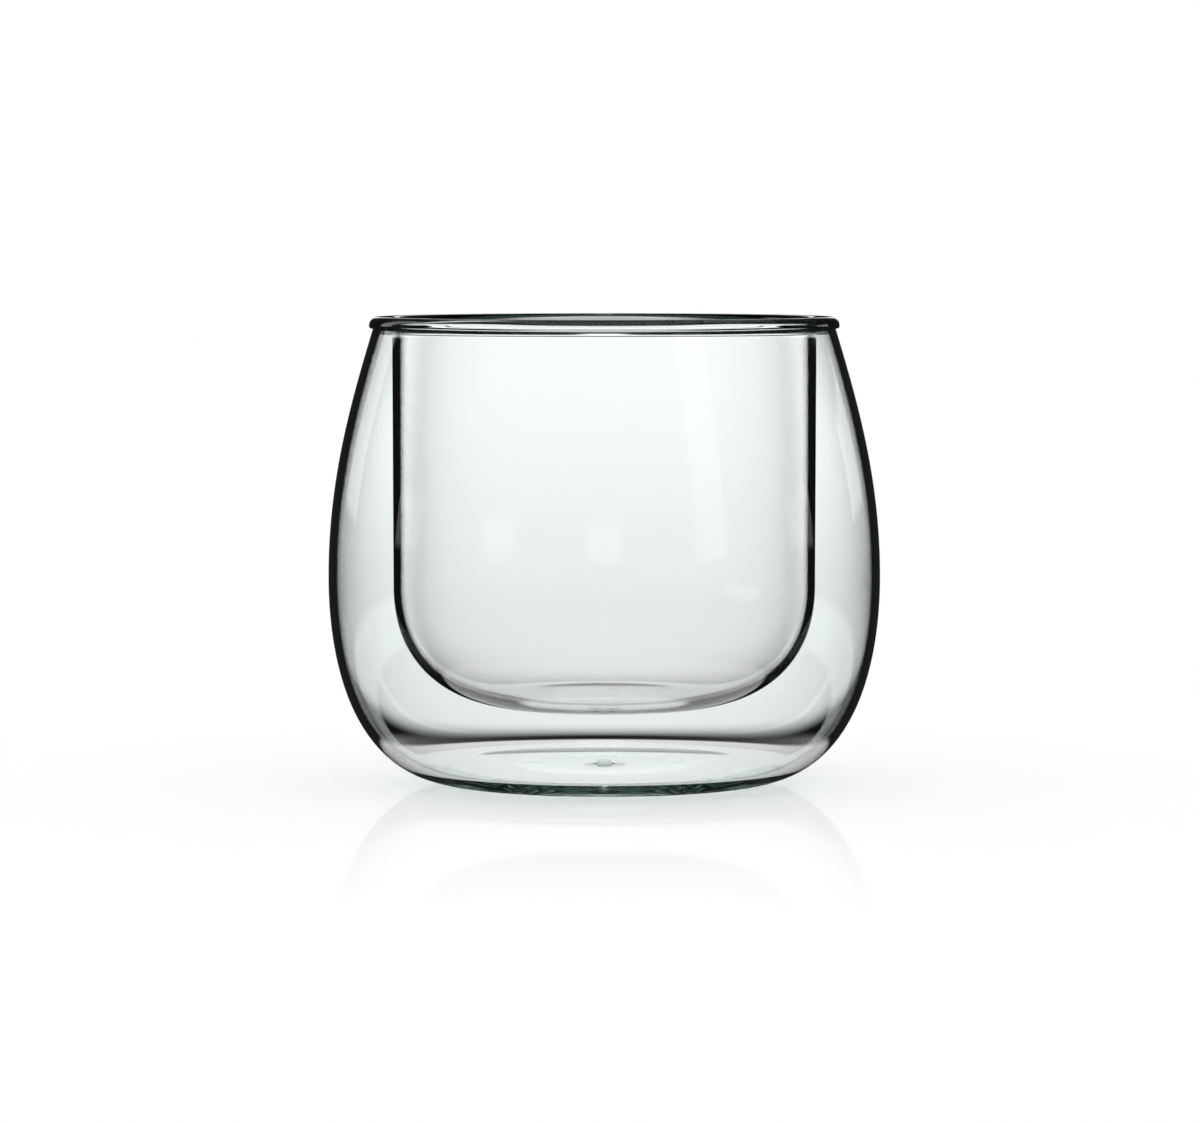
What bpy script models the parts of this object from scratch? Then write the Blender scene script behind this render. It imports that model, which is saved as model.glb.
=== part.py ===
"""Double-wall verrine glass, standing on its foot ring with its axis on +Z. Sizes are in metres.

Two blown bowls share one mouth. The inner bowl hangs inside the rounder outer bowl from the rim,
where both walls are melted into one bead. The air between the walls is shut in by a silicone plug
in the vent hole of the outer bowl's base.
"""

import math

import bmesh
import bpy
from mathutils import Vector
from mathutils.geometry import interpolate_bezier

# Overall sizes
HEIGHT = 0.0642
BORE_DIAMETER = 0.0562
BELLY_DIAMETER = 0.0760
BELLY_HEIGHT = 0.0284

# Fits: each melted or pressed joint is drawn as a thin seam, and air keeps the two walls apart
SEAM = 0.0003
MOUTH_GAP = 0.0017
BASE_GAP = 0.0086

# Rim bead, from the crest down
RIM_DEPTH = 0.0021
RIM_HEIGHT = 0.0016
RIM_ROUND = 0.0012
RIM_OVERHANG = 0.00055
RIM_LIP = 0.00015
RIM_EDGE = 0.0003
CROTCH_RISE = 0.00045

# Inner bowl: its wall keeps one thickness under the rim and thins towards the rounded corner
INNER_WALL = 0.00105
INNER_WALL_LOW = 0.00095
EVEN_WALL_DEPTH = 0.0040
INNER_FLOOR = 0.0012
INNER_FLAT_DIAMETER = 0.0220
CORNER_HEIGHT = 0.0166

# Outer bowl
OUTER_WALL = 0.0011
NECK_LEAN = math.radians(16.9)
BASE_THICKNESS = 0.0018
FOOT_DIAMETER = 0.0397
FOOT_WIDTH = 0.0078
PUSH_UP = 0.0004

# Vent and its plug
VENT_DIAMETER = 0.0030
PLUG_HEAD_DIAMETER = 0.0052
PLUG_HEAD_THICKNESS = 0.0004
PLUG_RECESS_DEPTH = 0.0005
PLUG_TIP_HEIGHT = 0.0006
PLUG_TAPER = 0.0002
PLUG_EDGE = 0.0002

# Fullness of the curves, and where the glass begins to thicken, each as a share of its curve's run
NECK_FULLNESS = 0.33
BELLY_FULLNESS = 0.38
HEEL_UPRIGHT = 0.53
HEEL_LEVEL = 0.721
HEEL_THICKENING = 0.8
CORNER_FULLNESS = 0.62
CORNER_THICKENING = 0.0
PUSH_UP_FULLNESS = 0.4

# Facets
SEGMENTS = 60
PLUG_SEGMENTS = 24
SHOULDER_STEPS = 8
HEEL_STEPS = 10
CORNER_STEPS = 9
PUSH_UP_STEPS = 4
ROUND_STEPS = 5
EDGE_STEPS = 2
CROTCH_STEPS = 8
MERGE_DISTANCE = 1e-7
SHARP_ANGLE = math.radians(35)

# Colours and finish
GLASS_COLOUR = (0.90, 0.95, 0.93, 1.0)
GLASS_ROUGHNESS = 0.02
GLASS_IOR = 1.5
SILICONE_COLOUR = (0.80, 0.82, 0.81, 1.0)
SILICONE_ROUGHNESS = 0.45
SILICONE_IOR = 1.41
SILICONE_TRANSMISSION = 0.35

# Radii and heights that follow from the sizes above
BORE_RADIUS = BORE_DIAMETER / 2
INNER_MOUTH_RADIUS = BORE_RADIUS + INNER_WALL
OUTER_MOUTH_RADIUS = INNER_MOUTH_RADIUS + MOUTH_GAP
NECK_RADIUS = OUTER_MOUTH_RADIUS + OUTER_WALL
BELLY_RADIUS = BELLY_DIAMETER / 2
RIM_FOOT = HEIGHT - RIM_DEPTH
WALL_TOP = RIM_FOOT - SEAM
INNER_UNDERSIDE = BASE_THICKNESS + BASE_GAP
INNER_FLOOR_TOP = INNER_UNDERSIDE + INNER_FLOOR
CORNER_TOP = INNER_UNDERSIDE + CORNER_HEIGHT
RECESS_TOP = PUSH_UP + PLUG_RECESS_DEPTH


def curve(start, start_handle, end_handle, end, steps):
    """Points (radius, height) along one cubic curve, both ends included."""
    corners = [Vector((r, z, 0.0)) for r, z in (start, start_handle, end_handle, end)]
    return [(p.x, p.y) for p in interpolate_bezier(*corners, steps + 1)]


def arc(centre, radius, start, end, steps):
    """Points (radius, height) along an arc, with its angles in degrees from straight outwards."""
    angles = [math.radians(start + (end - start) * i / steps) for i in range(steps + 1)]
    return [(centre[0] + radius * math.cos(a), centre[1] + radius * math.sin(a)) for a in angles]


def shoulder(neck_radius, belly_radius):
    """The wall from the neck, where it leans inwards, down to the belly, where it is upright."""
    run = WALL_TOP - BELLY_HEIGHT
    reach = NECK_FULLNESS * run
    lean = (neck_radius + reach * math.sin(NECK_LEAN), WALL_TOP - reach * math.cos(NECK_LEAN))
    upright = (belly_radius, BELLY_HEIGHT + BELLY_FULLNESS * run)
    return curve((neck_radius, WALL_TOP), lean, upright, (belly_radius, BELLY_HEIGHT), SHOULDER_STEPS)


def bend(wall, floor, upright_share, level_share, steps):
    """A rounded bend from a point on an upright wall down to a point on a level floor."""
    upright = (wall[0], wall[1] - upright_share * (wall[1] - floor[1]))
    level = (floor[0] + level_share * (wall[0] - floor[0]), floor[1])
    return curve(wall, upright, level, floor, steps)


def other_face(points, wall, floor, begin, side):
    """The far face of the glass along a bend, outside it (side 1) or inside it (side -1).

    The glass eases from the wall's thickness to the floor's after the share of the run where that begins.
    """
    last = len(points) - 1
    face = [(points[0][0] + side * wall, points[0][1])]
    for i in range(1, last):
        run = Vector(points[i + 1]) - Vector(points[i - 1])
        run.normalize()
        share = max((i / last - begin) / (1 - begin), 0.0)
        thickness = wall + (floor - wall) * share * share * (3 - 2 * share)
        face.append((points[i][0] - side * thickness * run.y, points[i][1] + side * thickness * run.x))
    return face + [(points[last][0], points[last][1] - side * floor)]


def outer_bowl_profile():
    """Closed outline: down the outside, in under the foot, up the vent and back up the inside."""
    foot_radius = FOOT_DIAMETER / 2
    push_up_radius = foot_radius - FOOT_WIDTH
    recess_radius = PLUG_HEAD_DIAMETER / 2 + SEAM
    vent_radius = VENT_DIAMETER / 2
    hollow = PUSH_UP_FULLNESS * (push_up_radius - recess_radius)
    belly = (BELLY_RADIUS, BELLY_HEIGHT)
    heel = bend(belly, (foot_radius, 0.0), HEEL_UPRIGHT, HEEL_LEVEL, HEEL_STEPS)
    outside = shoulder(NECK_RADIUS, BELLY_RADIUS) + heel[1:]
    under = curve(
        (push_up_radius, 0.0),
        (push_up_radius - hollow, PUSH_UP),
        (recess_radius + hollow, PUSH_UP),
        (recess_radius, PUSH_UP),
        PUSH_UP_STEPS,
    )
    vent = [
        (recess_radius, RECESS_TOP),
        (vent_radius, RECESS_TOP),
        (vent_radius, BASE_THICKNESS),
    ]
    inside = shoulder(OUTER_MOUTH_RADIUS, BELLY_RADIUS - OUTER_WALL)
    inside += other_face(heel, OUTER_WALL, BASE_THICKNESS, HEEL_THICKENING, -1)[1:]
    return outside + under + vent + inside[::-1]


def inner_bowl_profile():
    """Open outline from the inside floor up the bore, over the top and down to the underside."""
    wall = (BORE_RADIUS, CORNER_TOP)
    flat = (INNER_FLAT_DIAMETER / 2, INNER_FLOOR_TOP)
    inside = bend(wall, flat, CORNER_FULLNESS, CORNER_FULLNESS, CORNER_STEPS)
    outside = other_face(inside, INNER_WALL_LOW, INNER_FLOOR, CORNER_THICKENING, 1)
    even_wall_end = WALL_TOP - EVEN_WALL_DEPTH
    top = [
        (BORE_RADIUS, WALL_TOP),
        (INNER_MOUTH_RADIUS, WALL_TOP),
        (INNER_MOUTH_RADIUS, even_wall_end),
    ]
    return [(0.0, INNER_FLOOR_TOP)] + inside[::-1] + top + outside + [(0.0, INNER_UNDERSIDE)]


def rim_bead_profile():
    """Closed outline of the melted rim: rounded crest, small overhang and the rounded crotch below."""
    brim = HEIGHT - RIM_HEIGHT
    skirt_rise = math.tan(NECK_LEAN)
    brim_neck = NECK_RADIUS - (brim - WALL_TOP) * skirt_rise
    foot_neck = NECK_RADIUS - (RIM_FOOT - WALL_TOP) * skirt_rise
    outer_side = brim_neck + RIM_OVERHANG
    inner_side = BORE_RADIUS - RIM_LIP
    crest = HEIGHT - RIM_ROUND
    crotch_radius = (INNER_MOUTH_RADIUS + OUTER_MOUTH_RADIUS) / 2
    outside = arc((outer_side - RIM_ROUND, crest), RIM_ROUND, 90, 0, ROUND_STEPS)
    outside += arc((outer_side - RIM_EDGE, brim + RIM_EDGE), RIM_EDGE, 0, -90, EDGE_STEPS)
    outside += [(brim_neck, brim), (foot_neck, RIM_FOOT)]
    crotch = [
        (crotch_radius + across * MOUTH_GAP / 2, RIM_FOOT + rise * CROTCH_RISE)
        for across, rise in arc((0.0, 0.0), 1.0, 0, 180, CROTCH_STEPS)
    ]
    inside = [(BORE_RADIUS, RIM_FOOT), (inner_side, brim)]
    inside += arc((inner_side + RIM_ROUND, crest), RIM_ROUND, 180, 90, ROUND_STEPS)
    return outside + crotch + inside


def vent_plug_profile():
    """Open outline of the plug: a tapered stem in the vent over a flat head in the recess."""
    head_radius = PLUG_HEAD_DIAMETER / 2
    head_top = RECESS_TOP - SEAM
    head_foot = head_top - PLUG_HEAD_THICKNESS
    stem_radius = VENT_DIAMETER / 2 - SEAM
    tip_radius = stem_radius - PLUG_TAPER
    tip_top = BASE_THICKNESS + PLUG_TIP_HEIGHT
    outline = [(0.0, tip_top)]
    outline += arc((tip_radius - PLUG_EDGE, tip_top - PLUG_EDGE), PLUG_EDGE, 90, 0, EDGE_STEPS)
    outline += [(stem_radius, head_top), (head_radius, head_top)]
    outline += arc((head_radius - PLUG_EDGE, head_foot + PLUG_EDGE), PLUG_EDGE, 0, -90, EDGE_STEPS)
    outline += [(0.0, head_foot)]
    return outline


def turned(name, profile, closed, segments, material):
    """One sub-part: the outline of (radius, height) points spun once round the axis."""
    shape = bmesh.new()
    points = [shape.verts.new((r, 0.0, z)) for r, z in profile]
    ends = points[1:] + points[:1] if closed else points[1:]
    for start, end in zip(points, ends):
        shape.edges.new((start, end))
    bmesh.ops.spin(
        shape,
        geom=shape.verts[:] + shape.edges[:],
        axis=(0.0, 0.0, 1.0),
        cent=(0.0, 0.0, 0.0),
        angle=math.tau,
        steps=segments,
        use_merge=True,
    )
    bmesh.ops.remove_doubles(shape, verts=shape.verts[:], dist=MERGE_DISTANCE)
    bmesh.ops.recalc_face_normals(shape, faces=shape.faces[:])
    mesh = bpy.data.meshes.new(name)
    shape.to_mesh(mesh)
    shape.free()
    mesh.shade_smooth()
    mesh.set_sharp_from_angle(angle=SHARP_ANGLE)
    mesh.materials.append(material)
    part = bpy.data.objects.new(name, mesh)
    bpy.context.scene.collection.objects.link(part)
    return part


def clear_material(name, colour, roughness, ior, transmission):
    """A see-through material with its colour, roughness and refraction set on one shader."""
    material = bpy.data.materials.new(name)
    material.use_nodes = True
    shader = material.node_tree.nodes["Principled BSDF"].inputs
    shader["Base Color"].default_value = colour
    shader["Metallic"].default_value = 0.0
    shader["Roughness"].default_value = roughness
    shader["IOR"].default_value = ior
    shader["Transmission Weight"].default_value = transmission
    return material


def glass(name):
    """Clear borosilicate glass with a faint green cast."""
    return clear_material(name, GLASS_COLOUR, GLASS_ROUGHNESS, GLASS_IOR, 1.0)


def main():
    for old in list(bpy.data.objects):
        bpy.data.objects.remove(old)
    silicone = clear_material(
        "milky_silicone",
        SILICONE_COLOUR,
        SILICONE_ROUGHNESS,
        SILICONE_IOR,
        SILICONE_TRANSMISSION,
    )
    turned("outer_bowl", outer_bowl_profile(), True, SEGMENTS, glass("outer_bowl_glass"))
    turned("inner_bowl", inner_bowl_profile(), False, SEGMENTS, glass("inner_bowl_glass"))
    turned("rim_bead", rim_bead_profile(), True, SEGMENTS, glass("rim_bead_glass"))
    turned("vent_plug", vent_plug_profile(), False, PLUG_SEGMENTS, silicone)


main()
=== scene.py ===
"""Double-wall verrine glass on a white table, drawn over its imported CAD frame. Sizes are in metres."""

import math

import bmesh
import bpy
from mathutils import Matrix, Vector
from mathutils.geometry import interpolate_bezier


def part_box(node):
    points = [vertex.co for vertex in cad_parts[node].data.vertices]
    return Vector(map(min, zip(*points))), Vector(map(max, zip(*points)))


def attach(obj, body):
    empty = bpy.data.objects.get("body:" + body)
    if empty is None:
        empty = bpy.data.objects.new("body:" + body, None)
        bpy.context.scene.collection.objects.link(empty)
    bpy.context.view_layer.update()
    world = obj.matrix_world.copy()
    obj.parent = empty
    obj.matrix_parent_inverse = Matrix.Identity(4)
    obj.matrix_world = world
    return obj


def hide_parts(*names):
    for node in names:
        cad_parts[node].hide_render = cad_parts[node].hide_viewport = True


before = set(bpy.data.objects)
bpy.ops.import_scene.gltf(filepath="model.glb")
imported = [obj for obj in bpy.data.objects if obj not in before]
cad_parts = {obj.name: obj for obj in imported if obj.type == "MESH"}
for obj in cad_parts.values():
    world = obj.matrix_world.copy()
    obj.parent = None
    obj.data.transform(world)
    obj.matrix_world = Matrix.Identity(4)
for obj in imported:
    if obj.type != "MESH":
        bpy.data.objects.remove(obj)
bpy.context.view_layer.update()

bl_info = {
    "name": "Verrine glass",
    "version": (1, 0, 0),
    "blender": (4, 5, 0),
    "location": "3D View > Sidebar > Verrine",
    "description": "Blows a double-wall verrine glass, fits its vent plug and sets a bright-field stage",
    "category": "Add Mesh",
}

OUTER_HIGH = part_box("outer_bowl")[1]
INNER_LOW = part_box("inner_bowl")[0]
RIM_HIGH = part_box("rim_bead")[1]
PLUG_LOW, PLUG_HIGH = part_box("vent_plug")

PHOTO_WIDTH = 1200
PHOTO_HEIGHT = 1123
SENSOR_WIDTH = 36.0
NEAREST_SEEN = 0.01
TABLE_SIZE = 6.0
TABLE_DROP = 0.0002

# Steps along the curves of the outlines, and round the axis
WALL_STEPS = 40
HEEL_STEPS = 60
CROTCH_STEPS = 20
CREST_STEPS = 14
HOLLOW_STEPS = 12
EDGE_STEPS = 6
HEAD_STEPS = 5
DIMPLE_STEPS = 8
GLASS_TURN_STEPS = 224
PLUG_TURN_STEPS = 64

# A cubic curve rises to this share of its two handles' height
CURVE_PEAK = 0.75
SEED_SIZE = 0.001
END_STEP = 0.00004
SAME_POINT = 1e-7
WELD_DISTANCE = 5e-6
SMOOTH_ANGLE = math.radians(40)

WHITE = (1.0, 1.0, 1.0, 1.0)
# Share of red, green and blue that a shadow keeps at each face of the glass
FACE_CLEARNESS = (0.985, 0.99, 0.988, 1.0)
# Matt grain that the mould leaves on the silicone
GRAIN_SIZE = 0.00025
GRAIN_SHADE = 0.9
GRAIN_RELIEF = 0.00002


def span(start, end):
    """The two ends of a fade as angles, written in degrees."""
    return math.radians(start), math.radians(end)


# Ends of the bright field's fades: sideways from the nearest of its eight headings, or upwards from level
DIAGONAL = span(35, 20)
AHEAD = span(3.5, 1)
ASIDE = span(7.5, 16)
LOWER_PART = span(-1, -4.5)
CEILING = span(60, 45)
RISING = span(0, 2)
GLOW_FADE = math.radians(6)
WINDOW_SIDE = span(7.3, 6.5)
WINDOW_SILL = span(1, 2.5)
WINDOW_TOP = span(10, 8.5)
WINDOW_TOP_DIAGONAL = span(40, 32)
# Share of a ray's run that is straight to the back or the left
FORWARD = (0.96, 0.985)
HALF_HEADING = math.pi / 8

# Limits between whole numbers of faces that a ray has crossed or been mirrored by; a wall has two faces
NO_FACE = 0.5
ONE_FACE = 1.5
ONE_WALL = 2.5
TWO_WALLS = 4.5
BEFORE_THREE_WALLS = 5.5
THREE_WALLS = 6.5
BEFORE_FOUR_WALLS = 7.5
FOUR_WALLS = 8.5

MATH = "ShaderNodeMath"
MIX = "ShaderNodeMix"
FADE = "ShaderNodeMapRange"
SMOOTH = {"interpolation_type": "SMOOTHSTEP"}


def length(name, description, default):
    """A size property in metres."""
    return bpy.props.FloatProperty(
        name=name, description=description, default=default, min=0.0, unit="LENGTH", precision=5
    )


def share(name, description, default):
    """A number between 0 and 1."""
    return bpy.props.FloatProperty(name=name, description=description, default=default, min=0.0, max=1.0)


def number(name, description, default):
    """A plain number, not under 0."""
    return bpy.props.FloatProperty(name=name, description=description, default=default, min=0.0)


def degrees(name, description, default):
    """An angle property, written in degrees."""
    return bpy.props.FloatProperty(
        name=name, description=description, default=math.radians(default), subtype="ANGLE"
    )


def linear(code):
    """Linear red, green and blue of an sRGB hex colour."""
    values = [int(code[i:i + 2], 16) / 255 for i in (0, 2, 4)]
    return [v / 12.92 if v <= 0.04045 else ((v + 0.055) / 1.055) ** 2.4 for v in values]


def colour(name, description, code):
    """A colour property whose default is an sRGB hex value."""
    return bpy.props.FloatVectorProperty(
        name=name,
        description=description,
        default=linear(code),
        size=3,
        min=0.0,
        max=1.0,
        subtype="COLOR",
    )


class VERRINE_PG_glass(bpy.types.PropertyGroup):
    """Sizes and tint of the blown glass"""

    height: length("Height", "Table to the crest of the rim", RIM_HIGH[2])
    belly_radius: length("Belly radius", "Widest radius of the outer bowl", OUTER_HIGH[0])
    belly_height: length("Belly height", "Height of the widest place", 0.0284)
    bore_radius: length("Bore radius", "Inside radius of the inner bowl", 0.0281)
    inner_wall: length("Inner wall", "Wall of the inner bowl under the rim", 0.00105)
    inner_wall_low: length("Inner wall, low", "Wall of the inner bowl over its corner", 0.00095)
    inner_floor: length("Inner floor", "Thickness of the inner bowl's floor", 0.001)
    inner_underside: length("Inner underside", "Height of the inner bowl's lowest face", INNER_LOW[2])
    inner_flat: length("Inner flat radius", "Radius of the level part of the inner floor", 0.011)
    corner_height: length("Corner height", "Height that the inner corner's bend takes", 0.0166)
    mouth_gap: length("Mouth gap", "Air between the walls just under the rim", 0.0017)
    outer_wall: length("Outer wall", "Wall of the outer bowl", 0.0011)
    rim_depth: length("Rim depth", "Crest down to where the two walls part", 0.0021)
    rim_height: length("Rim height", "Height of the bead's side", 0.0016)
    rim_round: length("Rim round", "Radius of the bead's upper corners", 0.0012)
    rim_overhang: length("Rim overhang", "How far the bead stands out from the neck", 0.00055)
    rim_lip: length("Rim lip", "How far the bead stands into the bore", 0.00015)
    rim_edge: length("Rim edge", "Radius of the bead's lower outer edge", 0.0003)
    crotch_rise: length("Crotch rise", "Height of the rounded top of the air gap", 0.00045)
    heel_thickening: share("Heel thickening", "Share of the heel where the base starts to thicken", 0.76)
    base_thickness: length("Base thickness", "Thickness of the outer bowl's base", 0.0018)
    foot_radius: length("Foot radius", "Outside radius of the foot ring", 0.01985)
    foot_width: length("Foot width", "Width of the flat foot ring", 0.0078)
    push_up: length("Push-up", "Height of the hollow under the base", 0.0004)
    vent_radius: length("Vent radius", "Radius of the vent hole", 0.0015)
    recess_radius: length("Recess radius", "Radius of the plug's recess", 0.0029)
    recess_depth: length("Recess depth", "Depth of the plug's recess", 0.0005)
    neck_lean: degrees("Neck lean", "Slope of the outer wall at the rim", 16.9)
    neck_pull: share("Neck pull", "Share of the shoulder that the neck's slope pulls on", 0.33)
    belly_pull: share("Belly pull", "Share of the shoulder that the upright belly pulls on", 0.38)
    heel_upright: share("Heel, upright", "Share of the heel that the upright belly pulls on", 0.53)
    heel_level: share("Heel, level", "Share of the heel that the level foot pulls on", 0.721)
    corner_pull: share("Corner pull", "Share of the inner corner that wall and floor pull on", 0.62)
    hollow_pull: share("Hollow pull", "Share of the push-up that its two ends pull on", 0.4)
    lip_run: length("Lip run", "Height of each half of the lip's curve", 0.0004)
    even_wall: length("Even wall", "Height under the rim that the inner wall stays even for", 0.0043)
    tint: colour("Tint", "Colour of light after a long way through the glass", "e7f7f2")
    tint_density: number("Tint density", "Absorption for each metre of glass", 60.0)


class VERRINE_PG_plug(bpy.types.PropertyGroup):
    """Sizes and colour of the silicone vent plug"""

    head_radius: length("Head radius", "Radius of the plug's head", PLUG_HIGH[0])
    head_thickness: length("Head thickness", "Thickness of the plug's head", 0.0004)
    foot: length("Foot", "Height of the head's lower face", PLUG_LOW[2])
    tip: length("Tip", "Height of the stem's end", PLUG_HIGH[2])
    stem_radius: length("Stem radius", "Radius of the stem at the head", 0.0012)
    taper: length("Taper", "How much thinner the stem is at its end", 0.0002)
    edge: length("Edge", "Radius of the moulded edges", 0.0002)
    dimple_radius: length("Dimple radius", "Radius of the gate mark under the head", 0.0007)
    dimple_depth: length("Dimple depth", "Depth of the gate mark", 0.00012)
    dimple_edge: share("Dimple edge", "Share of its radius that the gate mark's edge pulls to", 0.7)
    dimple_floor: share("Dimple floor", "Share of its radius that the gate mark's floor pulls to", 0.5)
    silicone: colour("Silicone", "Colour of the plug", "e4e8e6")


class VERRINE_PG_stage(bpy.types.PropertyGroup):
    """Camera, table and bright field"""

    camera_distance: length("Camera distance", "Camera to the glass's axis", 0.736)
    camera_height: length("Camera height", "Camera over the table", 0.0755)
    image_scale: number("Image scale", "Image pixels for each metre at the axis", 7263.0)
    axis_x: number("Axis column", "Image column of the glass's axis", 604.3)
    table_y: number("Table row", "Image row of the table at the axis", 782.6)
    wall_level: number("Wall level", "Level of the lit wall seen through the glass", 1.38)
    wall_level_low: share("Wall level, low", "Share of the level in its lower part, behind the bowl", 0.83)
    wall_level_gap: share("Wall level, gap", "Share of the level in its lower part, behind the gap", 0.74)
    bowl_lift: number("Bowl lift", "How much brighter the lit wall is aside, behind the bowl", 1.3)
    gap_lift: share("Gap lift", "How much brighter the lit wall is aside, behind the air gap", 0.3)
    wall_top: degrees("Wall top", "Elevation of the lit wall's upper edge", 10.0)
    wall_bottom: degrees("Wall bottom", "Elevation of the lit wall's lower edge", -7.0)
    wall_low: degrees("Wall low", "Elevation of that edge behind the bowl and on the diagonals", -45.0)
    wall_soft: degrees("Wall edge", "Fade at the edges of the lit wall", 2.0)
    gap_cast: colour("Gap cast", "Colour of the lit wall behind the air gap", "f9fffd")
    dark: share("Dark room", "Level of the room round the lit wall", 0.004)
    sheen: share("Sheen", "Level that the outside of the glass mirrors", 0.02)
    rim_level: share("Rim level", "Level of the lit wall through the rim bead alone, as a share", 0.45)
    shade: number("Shade", "Level that light from the table finds through the glass", 2.1)
    base_glow: share("Base glow", "Level that rays led along inside the base see", 0.15)
    glow_from: degrees("Glow from", "Elevation that the base glow starts at", 12.0)
    # The table's painted glowing sheet under the glass, and the painted light on the inner bowl's
    # underside, both seen only through the glass
    sheet_radius: length("Sheet radius", "Radius of the lit sheet under the glass", 0.036)
    sheet_edge: length("Sheet edge", "Width of the lit sheet's soft edge", 0.004)
    painted_sheet_level: share("Sheet level", "Level of the lit sheet under the glass", 0.9)
    painted_underlight: length("Underlight", "Radius of the light on the inner bowl's underside", 0.0125)
    painted_underlight_edge: length("Underlight edge", "Width of that light's soft edge", 0.003)
    table_colour: colour("Table", "Colour of the table", "ffffff")
    table_gloss: share("Table gloss", "Share of light that the table mirrors by the glass", 0.12)
    gloss_start: length("Gloss start", "Radius where the table's gloss begins to fade", 0.04)
    gloss_end: length("Gloss end", "Radius where the table's gloss is gone", 0.16)


def add_node(tree, kind, inputs=(), **settings):
    """A new node with its settings, and its inputs, by place or by name, set to values or linked."""
    node = tree.nodes.new(kind)
    for name, value in settings.items():
        setattr(node, name, value)
    pairs = inputs.items() if isinstance(inputs, dict) else enumerate(inputs)
    for socket, value in pairs:
        source = value.outputs[0] if isinstance(value, bpy.types.Node) else value
        if isinstance(source, bpy.types.NodeSocket):
            tree.links.new(source, node.inputs[socket])
        else:
            node.inputs[socket].default_value = source
    return node


def new_material(name):
    """A material with an empty node tree."""
    material = bpy.data.materials.new(name)
    material.use_nodes = True
    material.node_tree.nodes.clear()
    return material


def blown_glass(tint, density):
    """Borosilicate glass, blown and fire-polished: mirror-smooth, clear, faintly green where thick."""
    material = new_material("blown borosilicate glass")
    tree = material.node_tree
    glass = add_node(
        tree,
        "ShaderNodeBsdfPrincipled",
        {"Base Color": WHITE, "Roughness": 0.0, "IOR": 1.5, "Transmission Weight": 1.0},
    )
    clear = add_node(tree, "ShaderNodeBsdfTransparent", {"Color": FACE_CLEARNESS})
    shadow = add_node(tree, "ShaderNodeLightPath").outputs["Is Shadow Ray"]
    surface = add_node(tree, "ShaderNodeMixShader", [shadow, glass, clear])
    depth = add_node(tree, "ShaderNodeVolumeAbsorption", {"Color": (*tint, 1.0), "Density": density})
    add_node(tree, "ShaderNodeOutputMaterial", {"Surface": surface, "Volume": depth})
    return material


def moulded_silicone(tone):
    """Food-safe silicone, moulded with a fine matt grain: milky, soft-edged, no sharp highlight."""
    material = new_material("moulded milky silicone")
    tree = material.node_tree
    place = add_node(tree, "ShaderNodeTexCoord").outputs["Object"]
    grain = add_node(
        tree,
        "ShaderNodeTexNoise",
        {"Vector": place, "Scale": 1 / GRAIN_SIZE, "Detail": 3.0},
    )
    dim = [GRAIN_SHADE * c for c in tone]
    tones = add_node(tree, MIX, {0: grain, 6: (*dim, 1.0), 7: (*tone, 1.0)}, data_type="RGBA")
    relief = add_node(
        tree,
        "ShaderNodeBump",
        {"Strength": 0.2, "Distance": GRAIN_RELIEF, "Height": grain},
    )
    silicone = add_node(
        tree,
        "ShaderNodeBsdfPrincipled",
        {
            "Base Color": tones.outputs[2],
            "Roughness": 0.45,
            "IOR": 1.41,
            "Subsurface Weight": 0.4,
            "Subsurface Radius": (1.0, 1.0, 1.0),
            "Subsurface Scale": 0.0008,
            "Normal": relief,
        },
    )
    add_node(tree, "ShaderNodeOutputMaterial", {"Surface": silicone})
    return material


def curve(start, start_handle, end_handle, end, steps):
    """Points (radius, height) along one cubic curve, both ends included."""
    corners = [Vector((r, z, 0.0)) for r, z in (start, start_handle, end_handle, end)]
    return [(p.x, p.y) for p in interpolate_bezier(*corners, steps + 1)]


def arc(centre, radius, start, end, steps):
    """Points (radius, height) along an arc, with its angles in degrees from straight outwards."""
    angles = [math.radians(start + (end - start) * i / steps) for i in range(steps + 1)]
    return [(centre[0] + radius * math.cos(a), centre[1] + radius * math.sin(a)) for a in angles]


def straight(start, end):
    """Points of a straight run, with a short step at each end that keeps its shading flat."""
    run = Vector((end[0] - start[0], end[1] - start[1], 0.0))
    run.normalize()
    near = (start[0] + END_STEP * run.x, start[1] + END_STEP * run.y)
    far = (end[0] - END_STEP * run.x, end[1] - END_STEP * run.y)
    return [start, near, far, end]


def bend(wall, floor, upright_share, level_share, steps):
    """A rounded bend from a point on an upright wall down to a point on a level floor."""
    upright = (wall[0], wall[1] - upright_share * (wall[1] - floor[1]))
    level = (floor[0] + level_share * (wall[0] - floor[0]), floor[1])
    return curve(wall, upright, level, floor, steps)


def other_face(points, wall, floor, begin, side):
    """The far face of the glass along a bend, outside it (side 1) or inside it (side -1)."""
    last = len(points) - 1
    face = [(points[0][0] + side * wall, points[0][1])]
    for i in range(1, last):
        run = Vector(points[i + 1]) - Vector(points[i - 1])
        run.normalize()
        eased = max((i / last - begin) / (1 - begin), 0.0)
        thickness = wall + (floor - wall) * eased * eased * (3 - 2 * eased)
        face.append((points[i][0] - side * thickness * run.y, points[i][1] + side * thickness * run.x))
    return face + [(points[last][0], points[last][1] - side * floor)]


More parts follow.
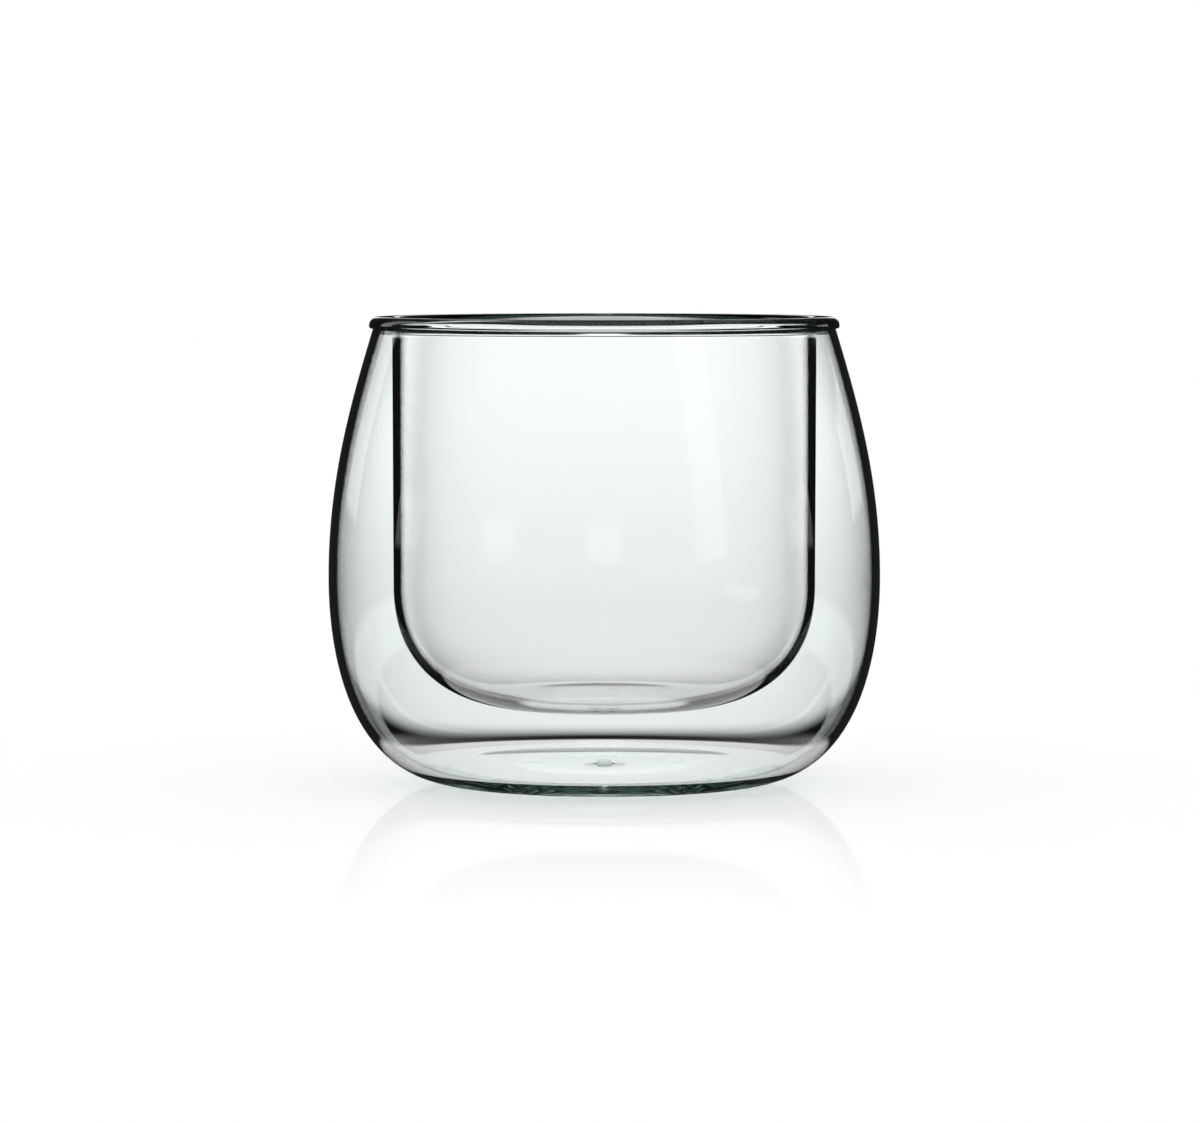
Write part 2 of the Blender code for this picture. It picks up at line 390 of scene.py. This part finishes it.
def glass_outline(size):
    """One outline of all the glass, from the inner floor's centre over the rim to the inner underside."""
    inner_mouth = size.bore_radius + size.inner_wall
    outer_mouth = inner_mouth + size.mouth_gap
    neck_radius = outer_mouth + size.outer_wall
    part = size.height - size.rim_depth
    brim = size.height - size.rim_height
    neck_run = part - size.belly_height
    reach = size.neck_pull * neck_run
    lean = (math.sin(size.neck_lean) * reach, -math.cos(size.neck_lean) * reach)

    def shoulder(neck, belly):
        return curve(
            (neck, part),
            (neck + lean[0], part + lean[1]),
            (belly, size.belly_height + size.belly_pull * neck_run),
            (belly, size.belly_height),
            WALL_STEPS,
        )

    floor_top = size.inner_underside + size.inner_floor
    corner_top = size.inner_underside + size.corner_height
    corner = bend(
        (size.bore_radius, corner_top),
        (size.inner_flat, floor_top),
        size.corner_pull,
        size.corner_pull,
        WALL_STEPS,
    )
    under_corner = other_face(corner, size.inner_wall_low, size.inner_floor, 0.0, 1)

    lip = size.bore_radius - size.rim_lip
    side = neck_radius - (brim - part) * math.tan(size.neck_lean) + size.rim_overhang
    crest = size.height - size.rim_round
    rim = curve(
        (size.bore_radius, brim - size.lip_run),
        (size.bore_radius, brim),
        (lip, brim),
        (lip, brim + size.lip_run),
        EDGE_STEPS,
    )
    rim += arc((lip + size.rim_round, crest), size.rim_round, 180, 90, CREST_STEPS)
    rim += arc((side - size.rim_round, crest), size.rim_round, 90, 0, CREST_STEPS)
    rim += arc((side - size.rim_edge, brim + size.rim_edge), size.rim_edge, 0, -90, EDGE_STEPS)
    rim += [(side - size.rim_overhang, brim)]

    belly = (size.belly_radius, size.belly_height)
    heel = bend(belly, (size.foot_radius, 0.0), size.heel_upright, size.heel_level, HEEL_STEPS)
    hollow_radius = size.foot_radius - size.foot_width
    hollow = size.hollow_pull * (hollow_radius - size.recess_radius)
    recess_top = size.push_up + size.recess_depth
    foot = curve(
        (hollow_radius, 0.0),
        (hollow_radius - hollow, size.push_up),
        (size.recess_radius + hollow, size.push_up),
        (size.recess_radius, size.push_up),
        HOLLOW_STEPS,
    )
    vent = [
        (size.recess_radius, recess_top),
        (size.vent_radius, recess_top),
        (size.vent_radius, size.base_thickness),
    ]

    inside = shoulder(outer_mouth, size.belly_radius - size.outer_wall)
    inside += other_face(heel, size.outer_wall, size.base_thickness, size.heel_thickening, -1)[1:]
    rise = size.crotch_rise / CURVE_PEAK
    crotch = curve(
        (outer_mouth, part),
        (outer_mouth - rise * math.tan(size.neck_lean), part + rise),
        (inner_mouth, part + rise),
        (inner_mouth, part),
        CROTCH_STEPS,
    )
    taper = (inner_mouth, part - size.even_wall)

    outline = straight((0.0, floor_top), corner[-1]) + corner[-2::-1]
    outline += straight(corner[0], rim[0])[1:] + rim[1:]
    outline += straight(rim[-1], (neck_radius, part))[1:] + shoulder(neck_radius, size.belly_radius)[1:]
    outline += heel[1:] + straight(heel[-1], foot[0])[1:] + foot[1:] + vent
    outline += straight(vent[-1], inside[-1])[1:] + inside[-2::-1] + crotch[1:]
    outline += straight(crotch[-1], taper)[1:]
    outline += straight(taper, under_corner[0])[1:] + under_corner[1:]
    return outline + straight(under_corner[-1], (0.0, size.inner_underside))[1:]


def plug_outline(size):
    """The plug's outline, from the top of its stem down to the gate mark under its head."""
    head_top = size.foot + size.head_thickness
    tip_radius = size.stem_radius - size.taper
    outline = [(0.0, size.tip)]
    outline += arc((tip_radius - size.edge, size.tip - size.edge), size.edge, 90, 0, EDGE_STEPS)
    outline += curve(
        (size.stem_radius, head_top + size.edge),
        (size.stem_radius, head_top),
        (size.stem_radius, head_top),
        (size.stem_radius + size.edge, head_top),
        HEAD_STEPS,
    )
    outline += arc((size.head_radius - size.edge, head_top - size.edge), size.edge, 90, 0, HEAD_STEPS)
    outline += arc((size.head_radius - size.edge, size.foot + size.edge), size.edge, 0, -90, HEAD_STEPS)
    outline += curve(
        (size.dimple_radius, size.foot),
        (size.dimple_edge * size.dimple_radius, size.foot),
        (size.dimple_floor * size.dimple_radius, size.foot + size.dimple_depth),
        (0.0, size.foot + size.dimple_depth),
        DIMPLE_STEPS,
    )
    return outline


def turn(name, outline, steps):
    """A closed piece: one vertex extruded along the outline, then spun once round the axis."""
    bpy.ops.object.select_all(action="DESELECT")
    bpy.ops.mesh.primitive_plane_add(size=SEED_SIZE)
    piece = bpy.context.object
    piece.name = name
    piece.data.name = name
    bpy.ops.object.mode_set(mode="EDIT")
    bpy.ops.mesh.select_all(action="SELECT")
    bpy.ops.mesh.merge(type="CENTER")
    bpy.ops.transform.translate(value=(outline[0][0], 0.0, outline[0][1]))
    for (r0, z0), (r1, z1) in zip(outline, outline[1:]):
        if math.hypot(r1 - r0, z1 - z0) > SAME_POINT:
            bpy.ops.mesh.extrude_vertices_move(TRANSFORM_OT_translate={"value": (r1 - r0, 0.0, z1 - z0)})
    bpy.ops.mesh.select_all(action="SELECT")
    bpy.ops.mesh.spin(steps=steps, angle=math.tau, center=(0.0, 0.0, 0.0), axis=(0.0, 0.0, 1.0))
    bpy.ops.mesh.select_all(action="SELECT")
    bpy.ops.mesh.remove_doubles(threshold=WELD_DISTANCE)
    bpy.ops.mesh.normals_make_consistent(inside=False)
    bpy.ops.object.mode_set(mode="OBJECT")
    bpy.ops.object.shade_smooth_by_angle(angle=SMOOTH_ANGLE)
    check_closed(piece)
    return piece


def check_closed(piece):
    """Stops the build if the piece has an open edge."""
    shape = bmesh.new()
    shape.from_mesh(piece.data)
    loose = sum(1 for e in shape.edges if len(e.link_faces) != 2)
    volume = shape.calc_volume(signed=True)
    shape.free()
    if loose or volume <= 0:
        raise RuntimeError(f"{piece.name}: {loose} open edges, volume {volume}")


def seat(piece, material, slot, *nodes):
    """Gives the piece its finish and puts it in the frame in place of its CAD nodes."""
    piece.data.materials.append(material)
    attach(piece, "root")
    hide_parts(*nodes)


class VERRINE_OT_glass(bpy.types.Operator):
    """Blows both bowls and fuses them at the rim, as one skin with the air gap inside"""

    bl_idname = "verrine.glass"
    bl_label = "Blow the glass"

    def execute(self, context):
        size = context.scene.verrine_glass
        piece = turn("fused_bowls", glass_outline(size), GLASS_TURN_STEPS)
        glass = blown_glass(size.tint, size.tint_density)
        seat(piece, glass, "outer_glass", "outer_bowl", "inner_bowl", "rim_bead")
        return {"FINISHED"}


class VERRINE_OT_plug(bpy.types.Operator):
    """Moulds the silicone plug and pushes it into the vent"""

    bl_idname = "verrine.plug"
    bl_label = "Fit the vent plug"

    def execute(self, context):
        size = context.scene.verrine_plug
        piece = turn("silicone_plug", plug_outline(size), PLUG_TURN_STEPS)
        seat(piece, moulded_silicone(size.silicone), "silicone", "vent_plug")
        return {"FINISHED"}


def bright_field(world, stage):
    """White to the camera and to matt surfaces; through the glass, a lit wall in a dark room."""
    world.use_nodes = True
    tree = world.node_tree
    tree.nodes.clear()
    rays = add_node(tree, "ShaderNodeLightPath").outputs
    faces = rays["Transmission Depth"]
    mirrors = rays["Glossy Depth"]
    direction = add_node(tree, "ShaderNodeTexCoord").outputs["Generated"]
    axes = add_node(tree, "ShaderNodeSeparateXYZ", [direction]).outputs
    rise = add_node(tree, MATH, [axes[2]], operation="ARCSINE")
    heading = add_node(tree, MATH, [axes[0], axes[1]], operation="ARCTAN2")

    # How near the ray runs to a diagonal, and to one of the eight headings
    turned = add_node(tree, MATH, [heading, math.pi / 4], operation="ADD")
    skew = add_node(tree, MATH, [turned, math.pi / 2], operation="PINGPONG")
    across = add_node(tree, FADE, [skew, *DIAGONAL], **SMOOTH)
    off = add_node(tree, MATH, [heading, HALF_HEADING], operation="PINGPONG")
    ahead = add_node(tree, FADE, [off, *AHEAD], **SMOOTH)
    aside = add_node(tree, FADE, [off, *ASIDE], **SMOOTH)

    # What the ray has come through: the bead alone, the air gap's two walls, or all four walls at the bowl
    bead = add_node(tree, MATH, [faces, ONE_WALL], operation="LESS_THAN")
    past_bead = add_node(tree, MATH, [faces, ONE_WALL], operation="GREATER_THAN")
    up_to_gap = add_node(tree, MATH, [faces, TWO_WALLS], operation="LESS_THAN")
    gap = add_node(tree, MATH, [past_bead, up_to_gap], operation="MULTIPLY")
    bowl = add_node(tree, MATH, [faces, BEFORE_FOUR_WALLS], operation="GREATER_THAN")

    # The lit wall's lower and upper edges
    deep = add_node(tree, MATH, [across, bowl], operation="MAXIMUM")
    foot = add_node(tree, FADE, [rise, stage.wall_bottom - stage.wall_soft, stage.wall_bottom], **SMOOTH)
    low_foot = add_node(tree, FADE, [rise, stage.wall_low - stage.wall_soft, stage.wall_low], **SMOOTH)
    above = add_node(tree, MIX, {0: deep, 2: foot, 3: low_foot})
    tall = add_node(tree, MATH, [gap, ahead], operation="MULTIPLY")
    top = add_node(tree, FADE, [rise, stage.wall_top + stage.wall_soft, stage.wall_top], **SMOOTH)
    ceiling = add_node(tree, FADE, [rise, *CEILING], **SMOOTH)
    below = add_node(tree, MIX, {0: tall, 2: top, 3: ceiling})
    inside = add_node(tree, MATH, [above, below], operation="MULTIPLY")

    # Its level, which falls in the lower part and rises aside
    low_bowl = stage.wall_level * stage.wall_level_low
    low_gap = stage.wall_level * stage.wall_level_gap
    lower = add_node(tree, FADE, [rise, *LOWER_PART], **SMOOTH)
    low = add_node(tree, MIX, {0: gap, 2: low_bowl, 3: low_gap})
    even = add_node(tree, MIX, {0: lower, 2: stage.wall_level, 3: low})
    gap_lift = add_node(tree, MATH, [gap, stage.gap_lift], operation="MULTIPLY")
    lift = add_node(tree, MIX, {0: bowl, 2: gap_lift, 3: stage.bowl_lift})
    lifted = add_node(tree, MATH, [lift, aside, 1.0], operation="MULTIPLY_ADD")
    level = add_node(tree, MATH, [even, lifted], operation="MULTIPLY")
    wall = add_node(tree, MIX, {0: inside, 2: stage.dark, 3: level})
    bead_share = add_node(tree, MIX, {0: ahead, 2: stage.dark, 3: stage.rim_level})
    bead_wall = add_node(tree, MATH, [wall, bead_share], operation="MULTIPLY")
    field = add_node(tree, MIX, {0: bead, 2: wall, 3: bead_wall})

    # Rays mirrored inside the glass see the dark room, save for glints and the glow led round the base
    unmirrored = add_node(tree, MATH, [mirrors, NO_FACE], operation="LESS_THAN")
    leftwards = add_node(tree, MATH, [axes[0], -1.0], operation="MULTIPLY")
    away = add_node(tree, MATH, [axes[1], leftwards], operation="MAXIMUM")
    forward = add_node(tree, FADE, [away, *FORWARD], **SMOOTH)
    up_to_bowl = add_node(tree, MATH, [faces, FOUR_WALLS], operation="LESS_THAN")
    bowl_once = add_node(tree, MATH, [bowl, up_to_bowl], operation="MULTIPLY")
    floor = add_node(tree, MATH, [bowl_once, forward], operation="MULTIPLY")
    glinting = add_node(tree, MATH, [gap, floor], operation="MAXIMUM")
    rising = add_node(tree, FADE, [rise, *RISING], **SMOOTH)
    glint = add_node(tree, MATH, [glinting, rising], operation="MULTIPLY")
    clear = add_node(tree, MATH, [unmirrored, glint], operation="MAXIMUM")
    cleared = add_node(tree, MIX, {0: clear, 2: stage.dark, 3: field})
    often = add_node(tree, MATH, [mirrors, ONE_FACE], operation="GREATER_THAN")
    led = add_node(tree, MATH, [often, bead], operation="MULTIPLY")
    upward = add_node(tree, FADE, [rise, stage.glow_from, stage.glow_from + GLOW_FADE], **SMOOTH)
    guided = add_node(tree, MATH, [led, upward], operation="MULTIPLY")
    through = add_node(tree, MIX, {0: guided, 2: cleared, 3: stage.base_glow})

    # Rays mirrored off the outside see the dark room too, save for white windows over the table
    evenness = add_node(tree, MATH, [rise], operation="COSINE")
    sideways = add_node(tree, MATH, [off, evenness], operation="MULTIPLY")
    side = add_node(tree, FADE, [sideways, *WINDOW_SIDE], **SMOOTH)
    sill = add_node(tree, FADE, [rise, *WINDOW_SILL], **SMOOTH)
    short = add_node(tree, FADE, [rise, *WINDOW_TOP], **SMOOTH)
    high = add_node(tree, FADE, [rise, *WINDOW_TOP_DIAGONAL], **SMOOTH)
    head = add_node(tree, MIX, {0: across, 2: short, 3: high})
    opening = add_node(tree, MATH, [sill, head], operation="MULTIPLY")
    window = add_node(tree, MATH, [side, opening], operation="MULTIPLY")
    mirrored = add_node(tree, MIX, {0: window, 2: stage.sheen, 3: 1.0})

    entered = add_node(tree, MATH, [faces, NO_FACE], operation="GREATER_THAN")
    by_eye = add_node(tree, MIX, {0: entered, 2: mirrored, 3: through})
    scattered = add_node(tree, MATH, [rays["Diffuse Depth"], NO_FACE], operation="GREATER_THAN")
    seen = add_node(tree, MIX, {0: scattered, 2: by_eye, 3: stage.shade})
    ways = [rays["Is Glossy Ray"], rays["Is Transmission Ray"]]
    glassy = add_node(tree, MATH, ways, operation="MAXIMUM")
    strength = add_node(tree, MIX, {0: glassy, 2: 1.0, 3: seen})
    tinged = add_node(tree, MATH, [glassy, gap], operation="MULTIPLY")
    cast = add_node(tree, MIX, {0: tinged, 6: WHITE, 7: (*stage.gap_cast, 1.0)}, data_type="RGBA")
    background = add_node(tree, "ShaderNodeBackground", [cast.outputs[2], strength])
    add_node(tree, "ShaderNodeOutputWorld", {"Surface": background})


def white_table(stage):
    """White acrylic sheet, polished: matt white with a faint mirror image, and a painted glowing sheet
    under the glass that only rays through the glass see.
    """
    material = new_material("polished white acrylic")
    tree = material.node_tree
    rays = add_node(tree, "ShaderNodeLightPath").outputs
    faces = rays["Transmission Depth"]
    mirrors = rays["Glossy Depth"]
    place = add_node(tree, "ShaderNodeTexCoord").outputs["Object"]
    out = add_node(tree, "ShaderNodeVectorMath", [place], operation="LENGTH").outputs["Value"]

    matt = add_node(tree, "ShaderNodeBsdfDiffuse", {"Color": (*stage.table_colour, 1.0)})
    gloss = add_node(tree, "ShaderNodeBsdfGlossy", {"Color": WHITE, "Roughness": 0.05})
    dulled = add_node(tree, FADE, [out, stage.gloss_start, stage.gloss_end], **SMOOTH)
    polish = add_node(tree, MIX, {0: dulled, 2: stage.table_gloss, 3: 0.0})
    sheet = add_node(tree, "ShaderNodeMixShader", [polish, matt, gloss])

    # Painted light under the glass, seen only by rays through the glass: the table glows as a sheet, with
    # painted shade where rays come through three walls at the rim, save mirrored rays near the middle,
    # which paint light on the inner bowl's underside, and a faint painted glow for rays led round the base
    sheet_end = stage.sheet_radius + stage.sheet_edge
    edge = add_node(tree, FADE, [out, stage.sheet_radius, sheet_end], **SMOOTH)
    past = add_node(tree, MATH, [faces, BEFORE_THREE_WALLS], operation="GREATER_THAN")
    up_to = add_node(tree, MATH, [faces, THREE_WALLS], operation="LESS_THAN")
    three_walls = add_node(tree, MATH, [past, up_to], operation="MULTIPLY")
    unmirrored = add_node(tree, MATH, [mirrors, NO_FACE], operation="LESS_THAN")
    reach = stage.painted_underlight + stage.painted_underlight_edge
    outside = add_node(tree, FADE, [out, stage.painted_underlight, reach], **SMOOTH)
    unlit = add_node(tree, MATH, [unmirrored, outside], operation="MAXIMUM")
    rim = add_node(tree, MATH, [three_walls, unlit], operation="MULTIPLY")
    often = add_node(tree, MATH, [mirrors, ONE_FACE], operation="GREATER_THAN")
    one_wall = add_node(tree, MATH, [faces, ONE_WALL], operation="LESS_THAN")
    guided = add_node(tree, MATH, [often, one_wall], operation="MULTIPLY")
    painted_sheet_level = add_node(tree, MIX, {0: guided, 2: stage.painted_sheet_level, 3: stage.base_glow})
    level = add_node(tree, MIX, {0: rim, 2: painted_sheet_level, 3: stage.dark})
    # The table glows here though it is no lamp: painted light, and painted shade at the dark level
    glow = add_node(tree, "ShaderNodeEmission", {"Strength": level})

    open_field = add_node(tree, "ShaderNodeBsdfTransparent")
    through = add_node(tree, "ShaderNodeMixShader", [edge, glow, open_field])
    crossing = rays["Is Transmission Ray"]
    by_glass = add_node(tree, "ShaderNodeMixShader", [crossing, open_field, through])
    glassy = add_node(tree, MATH, [rays["Is Glossy Ray"], crossing], operation="MAXIMUM")
    surface = add_node(tree, "ShaderNodeMixShader", [glassy, sheet, by_glass])
    add_node(tree, "ShaderNodeOutputMaterial", {"Surface": surface})
    return material


class VERRINE_OT_stage(bpy.types.Operator):
    """Lays the white table, lights the bright field and sets the camera"""

    bl_idname = "verrine.stage"
    bl_label = "Set the stage"

    def execute(self, context):
        scene = context.scene
        stage = scene.verrine_stage
        scene.view_settings.view_transform = "Standard"
        bpy.ops.object.select_all(action="DESELECT")
        bpy.ops.mesh.primitive_plane_add(size=TABLE_SIZE, location=(0.0, 0.0, -TABLE_DROP))
        table = context.object
        table.name = "table"
        table.data.materials.append(white_table(stage))
        scene.world = bpy.data.worlds.new("bright field")
        bright_field(scene.world, stage)
        scene.cycles.max_bounces = 96
        scene.cycles.glossy_bounces = 80
        scene.cycles.transmission_bounces = 64
        scene.cycles.transparent_max_bounces = 64

        focal = stage.image_scale * stage.camera_distance
        lens_row = stage.table_y - stage.camera_height * stage.image_scale
        pitch = math.atan((PHOTO_HEIGHT / 2 - lens_row) / focal)
        bpy.ops.object.camera_add(
            location=(0.0, -stage.camera_distance, stage.camera_height),
            rotation=(math.pi / 2 - pitch, 0.0, 0.0),
        )
        camera = context.object
        camera.name = "photo camera"
        camera.data.sensor_fit = "HORIZONTAL"
        camera.data.sensor_width = SENSOR_WIDTH
        camera.data.lens = focal / PHOTO_WIDTH * SENSOR_WIDTH
        camera.data.shift_x = (PHOTO_WIDTH / 2 - stage.axis_x) / PHOTO_WIDTH
        camera.data.clip_start = NEAREST_SEEN
        scene.camera = camera
        return {"FINISHED"}


class VERRINE_PT_panel(bpy.types.Panel):
    """Lists the steps in their order"""

    bl_idname = "VERRINE_PT_panel"
    bl_label = "Verrine glass"
    bl_space_type = "VIEW_3D"
    bl_region_type = "UI"
    bl_category = "Verrine"

    def draw(self, context):
        for operator in OPERATORS:
            self.layout.operator(operator.bl_idname)
        for group in GROUPS:
            settings = getattr(context.scene, group)
            box = self.layout.box()
            for name in settings.__annotations__:
                box.prop(settings, name)


GROUPS = {
    "verrine_glass": VERRINE_PG_glass,
    "verrine_plug": VERRINE_PG_plug,
    "verrine_stage": VERRINE_PG_stage,
}
OPERATORS = (VERRINE_OT_glass, VERRINE_OT_plug, VERRINE_OT_stage)


def register():
    for name, group in GROUPS.items():
        bpy.utils.register_class(group)
        setattr(bpy.types.Scene, name, bpy.props.PointerProperty(type=group))
    for operator in OPERATORS:
        bpy.utils.register_class(operator)
    bpy.utils.register_class(VERRINE_PT_panel)


def unregister():
    bpy.utils.unregister_class(VERRINE_PT_panel)
    for operator in reversed(OPERATORS):
        bpy.utils.unregister_class(operator)
    for name, group in reversed(GROUPS.items()):
        delattr(bpy.types.Scene, name)
        bpy.utils.unregister_class(group)


def main():
    register()
    bpy.ops.verrine.glass()
    bpy.ops.verrine.plug()
    bpy.ops.verrine.stage()


if __name__ == "__main__":
    main()
